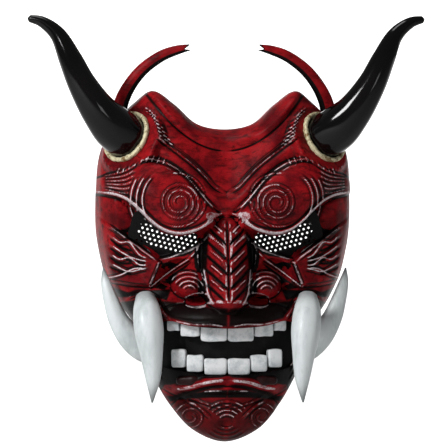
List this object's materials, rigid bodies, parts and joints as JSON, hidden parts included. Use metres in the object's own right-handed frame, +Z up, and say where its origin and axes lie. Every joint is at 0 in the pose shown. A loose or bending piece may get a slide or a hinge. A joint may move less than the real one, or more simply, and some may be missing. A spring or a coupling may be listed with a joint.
{
  "type": "horned demon face mask",
  "caption": "Wearable horned demon face mask: moulded shell with horns, tusks, teeth, see-through eye meshes, inner pads and an adjustable head strap.",
  "frame": {"origin": "on the plane of the shell's back rim, midway between the sides, at the height of the eye openings", "axes": "+Z up, +X to the viewer's right when facing the mask, -Y the way the face looks, +Y towards the wearer"},
  "size_m": [0.2836, 0.232, 0.3058],
  "materials": {
    "red_lacquer": "brushed-over lacquer, black in the grooves and silver on the ridges",
    "black_horn": "gloss",
    "gold_collar": "aged gold paint",
    "tooth_white": "satin, grey wash at the roots",
    "tusk_ivory": "satin, grey wash at the roots",
    "gum_red": "gloss",
    "eye_mesh_black": "matt, perforated",
    "mouth_black": "matt",
    "pad_foam": "knit-faced foam",
    "strap_webbing": "woven elastic",
    "black_buckle": "moulded",
    "screw_steel": "zinc plated"
  },
  "bodies": {
    "mask": {"anchor_screws": "screw_steel", "cheek_pad_left": "pad_foam", "cheek_pad_right": "pad_foam", "chin_pad": "pad_foam", "crest_prong_left": "red_lacquer", "crest_prong_right": "red_lacquer", "eye_mesh_left": "eye_mesh_black", "eye_mesh_right": "eye_mesh_black", "face_shell": "red_lacquer", "forehead_pad": "pad_foam", "front_tusk_left": "tusk_ivory", "front_tusk_right": "tusk_ivory", "head_strap": "strap_webbing", "horn_collar_left": "gold_collar", "horn_collar_right": "gold_collar", "horn_left": "black_horn", "horn_right": "black_horn", "horn_screws": "screw_steel", "horn_washers": "screw_steel", "lower_gum": "gum_red", "lower_tooth_1": "tooth_white", "lower_tooth_2": "tooth_white", "lower_tooth_3": "tooth_white", "lower_tooth_4": "tooth_white", "lower_tooth_5": "tooth_white", "lower_tooth_6": "tooth_white", "mouth_liner": "mouth_black", "rear_tusk_left": "tusk_ivory", "rear_tusk_right": "tusk_ivory", "strap_anchor_left": "black_buckle", "strap_anchor_right": "black_buckle", "upper_gum": "gum_red", "upper_tooth_1": "tooth_white", "upper_tooth_2": "tooth_white", "upper_tooth_3": "tooth_white", "upper_tooth_4": "tooth_white", "upper_tooth_5": "tooth_white", "upper_tooth_6": "tooth_white"},
    "slider": {"strap_slider": "black_buckle"}
  },
  "joints": [
    {"name": "strap_adjust", "type": "slide", "parent": "mask", "child": "slider", "axis": [0, 1, 0], "range_m": [-0.01, 0.022]}
  ]
}
